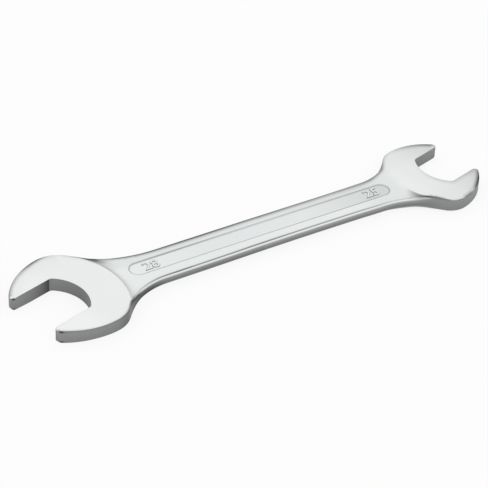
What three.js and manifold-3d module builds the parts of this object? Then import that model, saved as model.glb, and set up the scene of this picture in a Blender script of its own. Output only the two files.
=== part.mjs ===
// Double open end wrench, drop forged in one piece and chrome plated.
// Millimetres. +X runs along the shank to the small head, +Z is up, and the
// wrench lies flat with the middle of its bounding box over the origin.

import * as THREE from 'three';
import * as BufferGeometryUtils from 'three/addons/utils/BufferGeometryUtils.js';
import Module from 'manifold-3d';

const wasm = await Module();
wasm.setup();

// Both mouths are turned from the shank by this angle, the same way round.
const mouthAngle = THREE.MathUtils.degToRad(15);
// A mouth is this much wider than the nut that it fits.
const nutPlay = 0.1;

// The large head. Reaches are measured out along the mouth from its throat.
const largeHead = {
  nutSize: 28,
  thickness: 7.4,
  throatToMiddle: 97.5,
  mouthDepth: 28.6,
  throatRadius: 20,
  throatCornerRadius: 2.6,
  lipRadius: 1,
  halfWidth: 29.6,
  widestReach: 1.7,
  flankRadius: 36,
  cheekRadius: 15.8,
  tipRadius: 2,
  tightNeckRadius: 34.5,
  longNeckRadius: 58,
  faceRadius: 40,
  faceReach: 19.6,
  faceOffset: 5,
  stepRadius: 4,
};

// The small head has shorter jaws and a softer step down to the shank.
const smallHead = {
  nutSize: 25,
  thickness: 6.8,
  throatToMiddle: 97.5,
  mouthDepth: 22.1,
  throatRadius: 18.6,
  throatCornerRadius: 2.4,
  lipRadius: 1,
  halfWidth: 26,
  widestReach: -0.4,
  flankRadius: 28.5,
  cheekRadius: 13,
  tipRadius: 2,
  tightNeckRadius: 23.5,
  longNeckRadius: 39,
  faceRadius: 32,
  faceReach: 17.5,
  faceOffset: 2,
  stepRadius: 24,
};

// The blank before its faces are ground, the shank, and the rounding of the outer edges.
const blankThickness = 7.8;
const shankThickness = 5.6;
const shankWidth = 22.3;
const headEdgeRadius = 1.2;
const shankEdgeRun = 5;
const partingBand = 0.8;
const neckBlendShare = 0.5;

// The sunk panel on both faces of the shank.
const panelWidth = 8.8;
const panelLength = 145.6;
const panelOffset = 1.7;
const panelDepth = 0.4;

// Cuts run past the surfaces that they open by this much.
const overrun = 2;

// Numbers of facets.
const edgeFacets = 5;
const flankFacets = 14;
const cheekFacets = 12;
const neckFacets = 14;
const tipFacets = 4;
const stepFacets = 6;
const faceFacets = 96;
const arcFacets = 24;
const panelEndFacets = 12;

const halfHeight = blankThickness / 2;
const halfShank = shankWidth / 2;
const shankFace = shankThickness / 2;

// Closed triangle mesh to solid, without the flat triangles at the poles of a turned shape.
function toSolid(geometry) {
  const bare = geometry.clone();
  bare.deleteAttribute('normal');
  bare.deleteAttribute('uv');
  const merged = BufferGeometryUtils.mergeVertices(bare);
  const corners = merged.index.array;
  const kept = [];
  for (let i = 0; i < corners.length; i += 3) {
    const [a, b, c] = [corners[i], corners[i + 1], corners[i + 2]];
    if (a !== b && b !== c && c !== a) {
      kept.push(a, b, c);
    }
  }
  return new wasm.Manifold(new wasm.Mesh({
    numProp: 3,
    vertProperties: Float32Array.from(merged.attributes.position.array),
    triVerts: Uint32Array.from(kept),
  }));
}

// Solid back to a triangle mesh.
function toGeometry(solid) {
  const mesh = solid.getMesh();
  const geometry = new THREE.BufferGeometry();
  const positions = Float32Array.from(mesh.vertProperties);
  geometry.setAttribute('position', new THREE.BufferAttribute(positions, mesh.numProp));
  geometry.setIndex(new THREE.BufferAttribute(Uint32Array.from(mesh.triVerts), 1));
  geometry.computeVertexNormals();
  return geometry;
}

// A cutting shape as drawn, for the upper face.
function upside(geometry) {
  return geometry;
}

// The same shape for the lower face, with its facets turned to stay outward.
function underside(geometry) {
  const turned = geometry.index ? geometry.toNonIndexed() : geometry.clone();
  turned.scale(1, 1, -1);
  const places = turned.attributes.position;
  const first = new THREE.Vector3();
  const second = new THREE.Vector3();
  for (let i = 0; i < places.count; i += 3) {
    first.fromBufferAttribute(places, i);
    second.fromBufferAttribute(places, i + 1);
    places.setXYZ(i, second.x, second.y, second.z);
    places.setXYZ(i + 1, first.x, first.y, first.z);
  }
  return turned;
}

// Points on an arc, each with its outward normal and its share of the shank's edge.
function arcPoints(centre, radius, from, to, facets, hollow, shankShare) {
  const points = [];
  for (let i = 0; i <= facets; i += 1) {
    const turn = THREE.MathUtils.lerp(from, to, i / facets);
    const out = new THREE.Vector2(Math.cos(turn), Math.sin(turn));
    points.push({
      at: centre.clone().addScaledVector(out, radius),
      normal: hollow ? out.negate() : out,
      share: shankShare(i / facets),
    });
  }
  return points;
}

// A place given out along a mouth and across it, on a head that points to +X.
function onHead(head, angle, reach, across) {
  const place = new THREE.Vector2(reach, across);
  place.rotateAround(new THREE.Vector2(0, 0), angle);
  place.x += head.throatToMiddle;
  return place;
}

function angleFrom(centre, point) {
  return Math.atan2(point.y - centre.y, point.x - centre.x);
}

// One side of a head from its tip to the shank: tip, flank, cheek and hollow neck.
// Side -1 is drawn with the mouth turned the other way and mirrored across the shank.
function headSide(head, side, neckRadius) {
  const angle = side * mouthAngle;
  const flankAcross = head.halfWidth - head.flankRadius;
  const flank = onHead(head, angle, head.widestReach, flankAcross);
  const tipReach = head.mouthDepth - head.tipRadius;
  const tipSpan = head.flankRadius - head.tipRadius;
  const tipAcross = flankAcross + Math.sqrt(tipSpan ** 2 - (tipReach - head.widestReach) ** 2);
  const tip = onHead(head, angle, tipReach, tipAcross);
  const cheek = onHead(head, angle, head.widestReach, head.halfWidth - head.cheekRadius);
  const neckSpan = head.cheekRadius + neckRadius;
  const neckY = halfShank + neckRadius;
  const neckX = cheek.x - Math.sqrt(neckSpan ** 2 - (neckY - cheek.y) ** 2);
  const neck = new THREE.Vector2(neckX, neckY);
  const square = angle + Math.PI / 2;
  const tipTurn = angleFrom(flank, tip);
  const cheekEnd = angleFrom(cheek, neck);
  const neckStart = angleFrom(neck, cheek);
  const onFace = () => 0;
  const toShank = (t) => THREE.MathUtils.smoothstep(t, 0, neckBlendShare);
  const points = [
    ...arcPoints(tip, head.tipRadius, angle, tipTurn, tipFacets, false, onFace),
    ...arcPoints(flank, head.flankRadius, tipTurn, square, flankFacets, false, onFace).slice(1),
    ...arcPoints(cheek, head.cheekRadius, square, cheekEnd, cheekFacets, false, onFace).slice(1),
    ...arcPoints(neck, neckRadius, neckStart, -Math.PI / 2, neckFacets, true, toShank).slice(1),
  ];
  for (const point of points) {
    point.at.y *= side;
    point.normal.y *= side;
  }
  return side > 0 ? points : points.reverse();
}

// The same points at the other end of the wrench.
function turnedRound(points) {
  for (const point of points) {
    point.at.negate();
    point.normal.negate();
  }
  return points;
}

// The outline of the blank, anticlockwise from the small head's upper tip.
function blankOutline() {
  return [
    ...headSide(smallHead, 1, smallHead.tightNeckRadius),
    ...turnedRound(headSide(largeHead, -1, largeHead.longNeckRadius)),
    ...turnedRound(headSide(largeHead, 1, largeHead.tightNeckRadius)),
    ...headSide(smallHead, -1, smallHead.longNeckRadius),
  ];
}

// The blank: its outline drawn in over rounded edges, tight on the heads and
// wide on the shank, whose sides bulge from face to face.
function blankGeometry() {
  const outline = blankOutline();
  const count = outline.length;
  const rings = [];
  for (let i = -edgeFacets; i <= edgeFacets; i += 1) {
    const turn = Math.abs(i) / edgeFacets * Math.PI / 2;
    if (i < 0) {
      rings.push({ face: -1, turn });
    } else if (i > 0) {
      rings.push({ face: 1, turn });
    } else {
      rings.push({ face: -1, turn: 0 }, { face: 1, turn: 0 });
    }
  }
  const positions = [];
  for (const ring of rings) {
    for (const point of outline) {
      const run = THREE.MathUtils.lerp(headEdgeRadius, shankEdgeRun, point.share);
      const rise = THREE.MathUtils.lerp(headEdgeRadius, halfHeight - partingBand / 2, point.share);
      const inset = run * (1 - Math.cos(ring.turn));
      const height = halfHeight - rise * (1 - Math.sin(ring.turn));
      const place = point.at.clone().addScaledVector(point.normal, -inset);
      positions.push(place.x, place.y, ring.face * height);
    }
  }
  const index = [];
  for (let ring = 0; ring + 1 < rings.length; ring += 1) {
    for (let i = 0; i < count; i += 1) {
      const a = ring * count + i;
      const b = ring * count + (i + 1) % count;
      index.push(a, b, b + count, a, b + count, a + count);
    }
  }
  const top = (rings.length - 1) * count;
  const rim = outline.map((point, i) => {
    const first = 3 * (top + i);
    return new THREE.Vector2(positions[first], positions[first + 1]);
  });
  for (const [a, b, c] of THREE.ShapeUtils.triangulateShape(rim, [])) {
    index.push(top + a, top + b, top + c, a, c, b);
  }
  const geometry = new THREE.BufferGeometry();
  geometry.setAttribute('position', new THREE.Float32BufferAttribute(positions, 3));
  geometry.setIndex(index);
  return geometry;
}

// The face of a head as a round plate with a hollow skirt that runs out into the
// face of the shank. It is what stays when the faces are ground.
function facePlate(head) {
  const sink = head.thickness / 2 - shankFace;
  const sweep = Math.acos((head.stepRadius - sink) / head.stepRadius);
  const foot = head.faceRadius + head.stepRadius * Math.sin(sweep);
  const profile = [
    new THREE.Vector2(0, shankFace - overrun),
    new THREE.Vector2(foot, shankFace - overrun),
  ];
  for (let i = 0; i <= stepFacets; i += 1) {
    const turn = sweep * i / stepFacets;
    const radius = foot - head.stepRadius * Math.sin(turn);
    const height = shankFace + head.stepRadius * (1 - Math.cos(turn));
    profile.push(new THREE.Vector2(radius, height));
  }
  profile.push(new THREE.Vector2(0, head.thickness / 2));
  const plate = new THREE.LatheGeometry(profile, faceFacets);
  plate.rotateX(Math.PI / 2);
  return plate;
}

// What is ground off one face of the blank, down to the heads' faces and the shank's.
function groundSolid(flip) {
  const tall = halfHeight - shankFace + overrun;
  const reach = largeHead.throatToMiddle + largeHead.mouthDepth + largeHead.halfWidth;
  const across = largeHead.halfWidth + overrun;
  const block = new THREE.BoxGeometry(2 * reach, 2 * across, tall);
  block.translate(0, 0, shankFace + tall / 2);
  let solid = toSolid(flip(block));
  for (const [head, end] of [[smallHead, 1], [largeHead, -1]]) {
    const plate = facePlate(head);
    const centreX = head.throatToMiddle - head.faceReach + head.faceRadius;
    plate.translate(end * centreX, end * head.faceOffset, 0);
    solid = solid.subtract(toSolid(flip(plate)));
  }
  return solid;
}

// The mouth of a head: flat jaws with rounded lips and corners, and a round throat.
function mouthSolid(head, end) {
  const half = (head.nutSize + nutPlay) / 2;
  const corner = head.throatCornerRadius;
  const lip = head.lipRadius;
  const middle = head.throatRadius;
  const cornerReach = middle - Math.sqrt((head.throatRadius - corner) ** 2 - (half - corner) ** 2);
  const cornerTurn = Math.atan2(half - corner, cornerReach - middle);
  const outside = head.mouthDepth + overrun;
  const lipReach = head.mouthDepth - lip;
  const shape = new THREE.Shape();
  shape.moveTo(outside, -half - lip);
  shape.lineTo(outside, half + lip);
  shape.absarc(lipReach, half + lip, lip, 0, -Math.PI / 2, true);
  shape.absarc(cornerReach, half - corner, corner, Math.PI / 2, cornerTurn, false);
  shape.absarc(middle, 0, head.throatRadius, cornerTurn, 2 * Math.PI - cornerTurn, false);
  shape.absarc(cornerReach, corner - half, corner, -cornerTurn, -Math.PI / 2, false);
  shape.absarc(lipReach, -half - lip, lip, Math.PI / 2, 0, true);
  const depth = blankThickness + 2 * overrun;
  const options = { depth, bevelEnabled: false, curveSegments: arcFacets };
  const geometry = new THREE.ExtrudeGeometry(shape, options);
  geometry.translate(0, 0, -depth / 2);
  geometry.rotateZ(mouthAngle);
  geometry.translate(head.throatToMiddle, 0, 0);
  if (end < 0) {
    geometry.rotateZ(Math.PI);
  }
  return toSolid(geometry);
}

// The long sunk panel with round ends.
function panelSolid(flip) {
  const radius = panelWidth / 2;
  const straight = panelLength / 2 - radius;
  const shape = new THREE.Shape();
  shape.absarc(straight, 0, radius, -Math.PI / 2, Math.PI / 2, false);
  shape.absarc(-straight, 0, radius, Math.PI / 2, 3 * Math.PI / 2, false);
  const depth = panelDepth + overrun;
  const options = { depth, bevelEnabled: false, curveSegments: panelEndFacets };
  const geometry = new THREE.ExtrudeGeometry(shape, options);
  geometry.translate(panelOffset, 0, shankFace - panelDepth);
  return toSolid(flip(geometry));
}

let forging = toSolid(blankGeometry());
for (const flip of [upside, underside]) {
  forging = forging.subtract(groundSolid(flip)).subtract(panelSolid(flip));
}
forging = forging.subtract(mouthSolid(smallHead, 1)).subtract(mouthSolid(largeHead, -1));

const geometry = toGeometry(forging);
geometry.computeBoundingBox();
const box = geometry.boundingBox;
geometry.translate(-(box.min.x + box.max.x) / 2, -(box.min.y + box.max.y) / 2, -box.min.z);

const chrome = new THREE.MeshStandardMaterial({ color: 0xdfe2e2, roughness: 0.28, metalness: 1 });
const wrench = new THREE.Mesh(geometry, chrome);
wrench.name = 'wrench_forging';

const group = new THREE.Group();
group.add(wrench);

export default group;
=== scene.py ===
"""Double open end wrench: a fine mesh of the forging, its finish and painted light, and a pale studio."""
import math

import bpy
import numpy as np
from mathutils import Matrix, Vector
from mathutils.geometry import delaunay_2d_cdt


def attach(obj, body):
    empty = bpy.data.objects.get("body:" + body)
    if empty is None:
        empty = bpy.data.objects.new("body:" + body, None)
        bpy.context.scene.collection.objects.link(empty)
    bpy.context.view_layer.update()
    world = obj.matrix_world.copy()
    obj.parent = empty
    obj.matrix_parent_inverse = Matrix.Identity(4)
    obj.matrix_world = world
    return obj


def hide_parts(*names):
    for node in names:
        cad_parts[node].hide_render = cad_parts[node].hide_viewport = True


# Lengths are written in millimetres and turned into metres as meshes are made.
MM = 0.001

# The driving sizes of the forging, as in the model that it dresses.
MOUTH_ANGLE = math.radians(15)
NUT_PLAY = 0.1
LARGE = dict(
    nut=28, thickness=7.4, throat_to_middle=97.5, mouth_depth=28.6, throat_radius=20,
    corner_radius=2.6, lip_radius=1, half_width=29.6, widest_reach=1.7, flank_radius=36,
    cheek_radius=15.8, tip_radius=2, tight_neck=34.5, long_neck=58,
    face_radius=40, face_reach=19.6, face_offset=5, step_radius=4, end=-1,
)
SMALL = dict(
    nut=25, thickness=6.8, throat_to_middle=97.5, mouth_depth=22.1, throat_radius=18.6,
    corner_radius=2.4, lip_radius=1, half_width=26, widest_reach=-0.4, flank_radius=28.5,
    cheek_radius=13, tip_radius=2, tight_neck=23.5, long_neck=39,
    face_radius=32, face_reach=17.5, face_offset=2, step_radius=24, end=1,
)
BLANK_THICKNESS = 7.8
SHANK_THICKNESS = 5.6
SHANK_WIDTH = 22.3
HEAD_EDGE_RADIUS = 1.2
SHANK_EDGE_RUN = 5
PARTING_BAND = 0.8
NECK_BLEND_SHARE = 0.5
PANEL_DEPTH = 0.4

# The worn form of the heads and the fine rounding of their edges, which only the mesh has. The
# small head's skirt starts this share of its run inside the face's edge. The skin is how far the
# mesh lies inside the forging.
LARGE_WORN = dict(LARGE, tip_radius=3.2, lip_radius=1.6, tight_neck=33.4, long_neck=61)
SMALL_WORN = dict(
    SMALL, lip_radius=1.7, half_width=25.8, cheek_radius=10.9, tight_neck=26, long_neck=42.2,
)
LARGE_PLATE_SHIFT = (-0.58, -0.82)
SKIRT_SOFTNESS = 0.6
SMALL_SKIRT_SHARE = 1 / 6
MOUTH_EDGE_RADIUS = 0.22
LARGE_LIP_EDGE = 0.9
SMALL_LIP_EDGE = 0.7
LIP_EDGE_RUN = 3
LARGE_LIP_RUN = 11
SHANK_FILLET = 0.5
SMALL_FILLET = 0.4
LARGE_FILLET = 0.3
MOUTH_FILLET = 0.18
SKIN = 0.02

# The panel, the run of its wall, and how far its middle line lies to the +Y side: x, shift.
PANEL_WIDTH = 9
PANEL_LENGTH = 145
PANEL_OFFSET = 1.7
PANEL_WALL = 0.45
PANEL_MIDDLE = ((-70, 0.57), (-20, 0.55), (24, 0.38), (66, 0.13))

# The shank's wear: shifts of its +Y side and of its -Y side (x, shift), and a thinner underside.
FAR_SHIFT = ((-66, 0.18), (-48, 0), (0, 0), (20, -0.12), (40, -0.25), (60, -0.25), (74, 0))
NEAR_SHIFT = (
    (-66, -0.4), (-54, -0.27), (-42, -0.24), (-30, -0.16), (-18, -0.04), (-6, 0.13), (6, 0.19),
    (18, 0.21), (30, 0.16), (42, 0.05), (54, -0.07), (66, -0.42),
)
UNDER_THINNING = 0.8
UNDER_END = 80
UNDER_RUN = 12

# The large head's wear on its -Y side, past this y: its flank lies further in, and its lower
# edge is rounder.
FLANK_Y = -20
FLANK_WEAR = 0.33
FLANK_WEAR_X = -110
FLANK_WEAR_REACH = 9
UNDER_EDGE_SHARE = 0.15
UNDER_EDGE_RIM = 1.6
UNDER_EDGE_X = -99
UNDER_EDGE_REACH = 9

# Spacing and counts of the mesh points. Margin and clearance keep rings, rows and grid apart.
OUTLINE_STEP = 0.6
ARC_STEPS_LEAST = 3
FACE_STEP = 1.1
FACE_MARGIN = 0.4
GRID_CLEARANCE = 0.66
ROW_STEP = 0.7
WALL_RING_SHARE = 0.75
EDGE_RINGS = 10
FILLET_RINGS = 4
PANEL_ROWS = 10
PANEL_ROWS_REACH = 1.1
PANEL_END_POINTS = 24
SKIRT_ROWS = 9
SKIRT_OVERRUN_SHARE = 0.25
MERGE_DISTANCE = 1e-5
HALVINGS = 40
BATCH = 500

SHANK_FACE = SHANK_THICKNESS / 2
HALF_HEIGHT = BLANK_THICKNESS / 2
PANEL_RADIUS = PANEL_WIDTH / 2
PANEL_STRAIGHT = PANEL_LENGTH / 2 - PANEL_RADIUS
MIDDLE_HEIGHT = LARGE["thickness"] / 2


def chart(rows, x, column=1):
    """Values of a chart's column, read at x between its rows."""
    return np.interp(x, [row[0] for row in rows], [row[column] for row in rows])


def smooth(t):
    """A soft step from 0 at 0 to 1 at 1."""
    t = np.clip(t, 0, 1)
    return t * t * (3 - 2 * t)


def ramp(value, start, run):
    """A soft step from 0 at the start to 1 a run further on."""
    return smooth((value - start) / run)


def ramps(value, rows, base=0):
    """A base plus soft steps of these amounts: amount, start, run."""
    return base + sum(amount * ramp(value, start, run) for amount, start, run in rows)


def within(distance, run):
    """A soft step from 1 to 0, with its middle where the distance is zero."""
    return smooth(0.5 - distance / run)


def bell(distance, width):
    """A bell curve, 1 where the distance is zero."""
    return np.exp(-(distance / width) ** 2)


def mix(a, b, share):
    """The value at this share of the way from a to b."""
    return a + (b - a) * share


# Outline rows hold x, y, the outward normal, and the shares of the shank's edge, of a mouth's
# edge and of a hollow neck, in these columns.
PLACE = slice(0, 2)
NORMAL = slice(2, 4)
SHANK = 4
CUT = 5
HOLLOW = 6


def arc(centre, radius, start, end, hollow=False):
    """Places and normals along an arc. A hollow one has its normals turned inwards."""
    steps = max(ARC_STEPS_LEAST, math.ceil(abs(end - start) * radius / OUTLINE_STEP))
    turns = np.linspace(start, end, steps + 1)
    out = np.stack([np.cos(turns), np.sin(turns)], axis=1)
    return np.hstack([centre + radius * out, -out if hollow else out])


def straight(start, end, normal):
    """Places along a straight stretch, with their normal."""
    start, end = np.array(start, float), np.array(end, float)
    steps = max(1, math.ceil(np.hypot(*(end - start)) / OUTLINE_STEP))
    along = np.linspace(0, 1, steps + 1)[:, None]
    return np.hstack([start + (end - start) * along, np.tile(normal, (steps + 1, 1))])


def graded(rows, share, cut, hollow=0):
    """Outline rows with their shares, each one number or one for each row."""
    grades = np.zeros((len(rows), 3))
    grades[:, 0] = share
    grades[:, 1] = cut
    grades[:, 2] = hollow
    return np.hstack([rows, grades])


def turned(rows, angle, shift=(0, 0)):
    """Rows turned round the origin and then moved."""
    cosine, sine = math.cos(angle), math.sin(angle)
    turn = np.array([[cosine, sine], [-sine, cosine]])
    result = rows.copy()
    result[:, PLACE] = rows[:, PLACE] @ turn + shift
    result[:, NORMAL] = rows[:, NORMAL] @ turn
    return result


def mirrored(rows):
    """Rows on the other side of the shank's or the mouth's middle, in turned order."""
    result = rows[::-1].copy()
    result[:, 1] *= -1
    result[:, 3] *= -1
    return result


def on_head(head, angle, reach, across):
    """A place given along and across a mouth that is turned by the angle."""
    x = reach * math.cos(angle) - across * math.sin(angle) + head["throat_to_middle"]
    y = reach * math.sin(angle) + across * math.cos(angle)
    return np.array([x, y])


def angle_from(centre, point):
    return math.atan2(point[1] - centre[1], point[0] - centre[0])


def tip_across(head):
    """How far the middle of a tip's rounding lies from the mouth's middle."""
    flank_across = head["half_width"] - head["flank_radius"]
    reach = head["mouth_depth"] - head["tip_radius"] - head["widest_reach"]
    span = head["flank_radius"] - head["tip_radius"]
    return flank_across + math.sqrt(span ** 2 - reach ** 2)


def head_side(head, side, neck_radius):
    """One side of a head: tip, flank, cheek and hollow neck down to the shank."""
    angle = side * MOUTH_ANGLE
    flank = on_head(head, angle, head["widest_reach"], head["half_width"] - head["flank_radius"])
    tip = on_head(head, angle, head["mouth_depth"] - head["tip_radius"], tip_across(head))
    cheek = on_head(head, angle, head["widest_reach"], head["half_width"] - head["cheek_radius"])
    neck_y = SHANK_WIDTH / 2 + neck_radius
    neck_span = head["cheek_radius"] + neck_radius
    neck_x = cheek[0] - math.sqrt(neck_span ** 2 - (neck_y - cheek[1]) ** 2)
    neck = np.array([neck_x, neck_y])
    square = angle + math.pi / 2
    tip_turn = angle_from(flank, tip)
    neck_rows = arc(neck, neck_radius, angle_from(neck, cheek), -math.pi / 2, hollow=True)
    along_neck = np.linspace(0, 1, len(neck_rows))
    rows = np.vstack([
        graded(arc(tip, head["tip_radius"], angle, tip_turn), 0, 0),
        graded(arc(flank, head["flank_radius"], tip_turn, square), 0, 0),
        graded(arc(cheek, head["cheek_radius"], square, angle_from(cheek, neck)), 0, 0),
        graded(neck_rows, smooth(along_neck / NECK_BLEND_SHARE), 0, np.sin(math.pi * along_neck)),
    ])
    return rows if side > 0 else mirrored(rows)


def mouth_rows(head):
    """A head's mouth from its lower tip round the throat to its upper tip."""
    half = (head["nut"] + NUT_PLAY) / 2
    corner, lip, middle = head["corner_radius"], head["lip_radius"], head["throat_radius"]
    corner_reach = middle - math.sqrt((middle - corner) ** 2 - (half - corner) ** 2)
    corner_turn = math.atan2(half - corner, corner_reach - middle)
    lip_reach, depth = head["mouth_depth"] - lip, head["mouth_depth"]
    end_face = straight((depth, half + lip), (depth, tip_across(head)), (1, 0))
    upper = np.vstack([
        graded(arc((middle, 0), middle, math.pi, corner_turn, hollow=True), 0, 1),
        graded(arc((corner_reach, half - corner), corner, corner_turn, math.pi / 2, hollow=True), 0, 1),
        graded(straight((corner_reach, half), (lip_reach, half), (0, -1)), 0, 1),
        graded(arc((lip_reach, half + lip), lip, -math.pi / 2, 0), 0, 1),
        graded(end_face, 0, np.linspace(1, 0, len(end_face))),
    ])
    rows = np.vstack([mirrored(upper), upper])
    return turned(rows, MOUTH_ANGLE, (head["throat_to_middle"], 0))


def without_doubles(rows):
    """The rows less those that lie on the one before."""
    gaps = np.hypot(*(rows[:, PLACE] - np.roll(rows[:, PLACE], 1, axis=0)).T)
    return rows[gaps > SKIN / 2]


def shank_edge(start, end, side):
    """The straight edge of the shank between two rows."""
    return graded(straight(start[PLACE], end[PLACE], (0, side)), 1, 0)


def outline_rows(large, small):
    """The whole outline, anticlockwise, with the shank's middle on the X axis."""
    upper_small = head_side(small, 1, small["tight_neck"])
    upper_large = turned(head_side(large, -1, large["long_neck"]), math.pi)
    lower_large = turned(head_side(large, 1, large["tight_neck"]), math.pi)
    lower_small = head_side(small, -1, small["long_neck"])
    return without_doubles(np.vstack([
        upper_small,
        shank_edge(upper_small[-1], upper_large[0], 1),
        upper_large,
        turned(mouth_rows(large), math.pi),
        lower_large,
        shank_edge(lower_large[-1], lower_small[0], -1),
        lower_small,
        mouth_rows(small),
    ]))


def centring_shift():
    """The shift that brings the middle of the forging's box to the origin."""
    places = outline_rows(LARGE, SMALL)[:, PLACE]
    return -(places.min(axis=0) + places.max(axis=0)) / 2


def worn_outline():
    """The outline with its worn tips, flank and sides, in place and a skin inside the forging."""
    rows = outline_rows(LARGE_WORN, SMALL_WORN)
    rows[:, PLACE] += SHIFT - rows[:, NORMAL] * SKIN
    x, y = rows[:, PLACE].T
    worn = FLANK_WEAR * bell(x - FLANK_WEAR_X, FLANK_WEAR_REACH) * (1 - rows[:, CUT]) * (y < FLANK_Y)
    shift = np.where(y < 0, chart(NEAR_SHIFT, x), chart(FAR_SHIFT, x))
    rows[:, PLACE] -= rows[:, NORMAL] * worn[:, None]
    rows[:, 1] += shift * rows[:, SHANK]
    return rows


SHIFT = centring_shift()
OUTLINE = worn_outline()

# The rows outside the mouths.
OUTER = OUTLINE[:, CUT] < 0.5


def plate_centre(head):
    """The middle of the round plate that is a head's ground face."""
    reach = head["throat_to_middle"] - head["face_reach"] + head["face_radius"]
    worn = LARGE_PLATE_SHIFT if head is LARGE else (0, 0)
    return head["end"] * np.array([reach, head["face_offset"]]) + SHIFT + worn


def skirt_run(head):
    """How far a head's hollow skirt runs out past its face."""
    sink = head["thickness"] / 2 - SHANK_FACE
    sweep = math.acos((head["step_radius"] - sink) / head["step_radius"])
    return head["step_radius"] * math.sin(sweep)


def past_face(head, points):
    """Distance past the edge of a head's ground face, below zero on it."""
    return np.hypot(*(points - plate_centre(head)).T) - head["face_radius"]


def large_rise(points):
    """Height of the large head's face over the shank's: crisp edge and hollow skirt."""
    past = past_face(LARGE, points)
    step = LARGE["step_radius"]
    run = skirt_run(LARGE)
    left = np.clip(run - np.maximum(past, 0), 0, None)
    hollow = step - np.sqrt(step ** 2 - left ** 2)
    straight_fall = (LARGE["thickness"] / 2 - SHANK_FACE) * left / run
    return mix(hollow, straight_fall, SKIRT_SOFTNESS)


def small_rise(points):
    """Height of the small head's face over the shank's: a soft fall."""
    run = skirt_run(SMALL)
    rise = SMALL["thickness"] / 2 - SHANK_FACE
    start = -run * SMALL_SKIRT_SHARE
    return rise * (1 - ramp(past_face(SMALL, points), start, run - start))


def panel_gap(points):
    """Distance out from the panel's outline, below zero inside it."""
    x = points[:, 0] - SHIFT[0] - PANEL_OFFSET
    y = points[:, 1] - SHIFT[1] - chart(PANEL_MIDDLE, points[:, 0])
    return np.hypot(np.maximum(np.abs(x) - PANEL_STRAIGHT, 0), y) - PANEL_RADIUS


def face_height(points):
    """Half thickness of the ground and sunk faces."""
    sunk = PANEL_DEPTH * within(panel_gap(points), PANEL_WALL)
    return SHANK_FACE + large_rise(points) + small_rise(points) - sunk


def inset_at(run, turn):
    """How far in from the outline the rounded edge has come after this turn."""
    return run * (1 - np.cos(turn))


def crease_turn(rows, run, rise, top):
    """Where the rounding of the edge meets the ground face, found by halving."""
    low = np.zeros(len(rows))
    high = np.full(len(rows), math.pi / 2)
    for _ in range(HALVINGS):
        turn = (low + high) / 2
        places = rows[:, PLACE] - rows[:, NORMAL] * inset_at(run, turn)[:, None]
        under = top - rise * (1 - np.sin(turn)) < face_height(places)
        low = np.where(under, turn, low)
        high = np.where(under, high, turn)
    return low


def head_reach(head, points):
    """Distance out along a head's mouth from the bottom of its throat."""
    along = head["end"] * np.array([math.cos(MOUTH_ANGLE), math.sin(MOUTH_ANGLE)])
    return (points - SHIFT) @ along - head["throat_to_middle"] * math.cos(MOUTH_ANGLE)


def crease_fillet(rows):
    """How far the rounding of the crease reaches to each side."""
    head = np.where(rows[:, 0] > 0, SMALL_FILLET, LARGE_FILLET)
    return mix(mix(head, SHANK_FILLET, rows[:, SHANK]), MOUTH_FILLET, rows[:, CUT])


def lip_share(head, points, run=LIP_EDGE_RUN):
    """Share that grows to 1 towards the tips of a head's jaws."""
    return smooth(1 + (head_reach(head, points) - head["mouth_depth"]) / run)


def edge_sizes(rows):
    """The run and rise of the rounded edge, and the height of its top."""
    share, cut = rows[:, SHANK], rows[:, CUT]
    mouth = mix(MOUTH_EDGE_RADIUS, LARGE_LIP_EDGE, lip_share(LARGE, rows[:, PLACE], LARGE_LIP_RUN))
    mouth = mix(mouth, SMALL_LIP_EDGE, lip_share(SMALL, rows[:, PLACE]))
    run = mix(mix(HEAD_EDGE_RADIUS, SHANK_EDGE_RUN, share), mouth, cut)
    rise = mix(HEAD_EDGE_RADIUS, HALF_HEIGHT - PARTING_BAND / 2, share)
    rise = mix(rise, mouth, cut)
    top = mix(HALF_HEIGHT, face_height(rows[:, PLACE] - rows[:, NORMAL] * run[:, None]), cut)
    return run, rise, top


def edge_rings(rows):
    """Rings of points from the wall over the rounded edge to the face, and the crease."""
    run, rise, top = edge_sizes(rows)
    crease = crease_turn(rows, run, rise, top)
    speed = np.hypot(run * np.sin(crease), rise * np.cos(crease))
    fillet = crease_fillet(rows)
    last = crease - np.minimum(fillet / speed, crease / 2)

    def ring(inset, height=None):
        places = rows[:, PLACE] - rows[:, NORMAL] * inset[:, None]
        height = face_height(places) if height is None else height
        return np.hstack([places, height[:, None]])

    rings = [ring(np.zeros(len(rows)), (top - rise) * WALL_RING_SHARE)]
    for i in range(EDGE_RINGS):
        turn = last * i / (EDGE_RINGS - 1)
        rings.append(ring(inset_at(run, turn), top - rise * (1 - np.sin(turn))))
    start = rings[-1]
    corner = ring(inset_at(run, crease))
    finish = ring(inset_at(run, crease) + fillet)
    for i in range(1, FILLET_RINGS + 1):
        t = i / FILLET_RINGS
        rings.append(start * (1 - t) ** 2 + corner * 2 * t * (1 - t) + finish * t ** 2)
    rings.append(ring(inset_at(run, crease) + fillet + FACE_MARGIN))
    return np.array(rings), corner


def inside(points, loop):
    """Which points lie inside a closed loop, by counting crossings."""
    found = np.zeros(len(points), bool)
    x, y = points[:, 0], points[:, 1]
    for a, b in zip(loop, np.roll(loop, -1, axis=0)):
        if a[1] == b[1]:
            continue
        crosses = (a[1] > y) != (b[1] > y)
        found ^= crosses & (x < a[0] + (y - a[1]) * (b[0] - a[0]) / (b[1] - a[1]))
    return found


def nearest(points, others):
    """Distance from each point to the nearest of the others, and which one that is."""
    distance = np.empty(len(points))
    index = np.empty(len(points), int)
    for start in range(0, len(points), BATCH):
        batch = slice(start, start + BATCH)
        squares = ((points[batch, None, :] - others[None, :, :]) ** 2).sum(axis=2)
        index[batch] = squares.argmin(axis=1)
        distance[batch] = np.sqrt(squares.min(axis=1))
    return distance, index


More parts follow.
